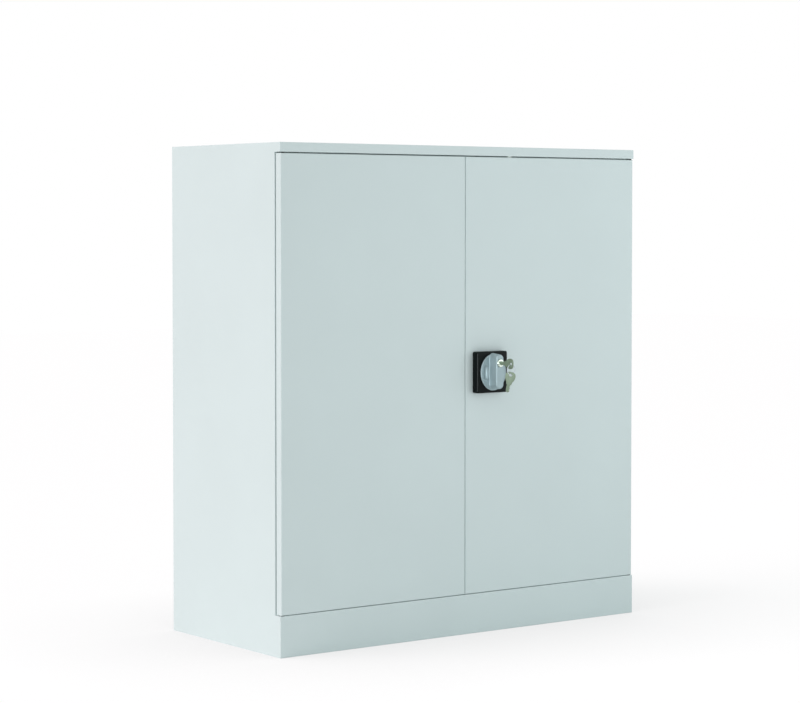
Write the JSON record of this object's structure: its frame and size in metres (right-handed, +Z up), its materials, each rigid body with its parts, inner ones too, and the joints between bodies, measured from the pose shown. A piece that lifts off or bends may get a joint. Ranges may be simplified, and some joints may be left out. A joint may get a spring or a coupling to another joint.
{
  "type": "two-door steel cupboard",
  "caption": "Low grey sheet-steel cupboard with inset double doors on pivots, an adjustable shelf inside and a turning knob that throws bolts up, down and sideways.",
  "frame": {"origin": "on the floor, in the middle of the carcass's 914 by 400 mm footprint", "axes": "+X the viewer's right facing the doors, +Y into the cupboard from its front, +Z up"},
  "size_m": [0.914, 0.4818, 1],
  "materials": {
    "grey_paint": "light blue-grey powder coat, fine texture, semi-matt",
    "black_plastic": "black moulded plastic, satin",
    "satin_metal": "satin-plated zinc die casting",
    "zinc_plated_steel": "bright zinc plating",
    "bright_nickel": "polished nickel plating",
    "key_nickel": "dull nickel-plated brass",
    "white_nylon": "natural white nylon",
    "black_rubber": "black rubber, matt"
  },
  "bodies": {
    "carcass": {"left_side_panel": "grey_paint", "right_side_panel": "grey_paint", "top_panel": "grey_paint", "back_panel": "grey_paint", "floor_panel": "grey_paint", "plinth": "grey_paint", "shelf": "grey_paint", "shelf_clips": "zinc_plated_steel", "front_left_upright": "grey_paint", "front_right_upright": "grey_paint", "back_left_upright": "grey_paint", "back_right_upright": "grey_paint", "door_buffers": "black_rubber", "door_pad": "white_nylon", "hinge_bushes": "black_plastic"},
    "left_door": {"left_door_pan": "grey_paint", "left_door_inner_skin": "grey_paint", "left_door_pins": "zinc_plated_steel"},
    "right_door": {"right_door_pan": "grey_paint", "right_door_inner_skin": "grey_paint", "right_door_pins": "zinc_plated_steel", "escutcheon": "black_plastic", "lock_base": "zinc_plated_steel", "lock_case": "zinc_plated_steel", "lock_screws": "zinc_plated_steel", "upper_rod_guide": "grey_paint", "lower_rod_guide": "grey_paint"},
    "lock_handle": {"knob": "satin_metal", "lock_barrel": "bright_nickel", "spindle": "zinc_plated_steel", "spindle_clip": "zinc_plated_steel", "pinion": "zinc_plated_steel"},
    "lock_key": {"lock_plug": "bright_nickel", "lock_cam": "zinc_plated_steel", "key": "key_nickel"},
    "hanging_key": {"key_ring": "zinc_plated_steel", "spare_key": "key_nickel"},
    "upper_bolt": {"upper_rack": "zinc_plated_steel", "upper_rod": "zinc_plated_steel"},
    "lower_bolt": {"lower_rack": "zinc_plated_steel", "lower_rod": "zinc_plated_steel"},
    "side_bolt": {"side_bolt": "zinc_plated_steel"}
  },
  "joints": [
    {"name": "left_door_swing", "type": "hinge", "parent": "carcass", "child": "left_door", "pos_m": [-0.449, -0.193, 0.5307], "axis": [0, 0, -1], "range_deg": [0, 180]},
    {"name": "right_door_swing", "type": "hinge", "parent": "carcass", "child": "right_door", "pos_m": [0.449, -0.193, 0.5307], "axis": [0, 0, 1], "range_deg": [0, 180]},
    {"name": "handle_turn", "type": "hinge", "parent": "right_door", "child": "lock_handle", "pos_m": [0.0565, -0.2085, 0.5375], "axis": [0, -1, 0], "range_deg": [0, 90]},
    {"name": "key_turn", "type": "hinge", "parent": "lock_handle", "child": "lock_key", "pos_m": [0.0565, -0.2433, 0.5571], "axis": [0, 1, 0], "range_deg": [0, 90]},
    {"name": "spare_key_swing", "type": "hinge", "parent": "lock_key", "child": "hanging_key", "pos_m": [0.0565, -0.2753, 0.55545], "axis": [0, 1, 0], "range_deg": [-25, 25]},
    {"name": "upper_bolt_slide", "type": "slide", "parent": "right_door", "child": "upper_bolt", "axis": [0, 0, 1], "range_m": [0, 0.01768]},
    {"name": "lower_bolt_slide", "type": "slide", "parent": "right_door", "child": "lower_bolt", "axis": [0, 0, -1], "range_m": [0, 0.01768]},
    {"name": "side_bolt_slide", "type": "slide", "parent": "right_door", "child": "side_bolt", "axis": [-1, 0, 0], "range_m": [0, 0.01768]}
  ],
  "couplings": [
    {"joint": "upper_bolt_slide", "follows": "handle_turn", "m_per_rad": 0.01125},
    {"joint": "lower_bolt_slide", "follows": "handle_turn", "m_per_rad": 0.01125},
    {"joint": "side_bolt_slide", "follows": "handle_turn", "m_per_rad": 0.01125}
  ]
}
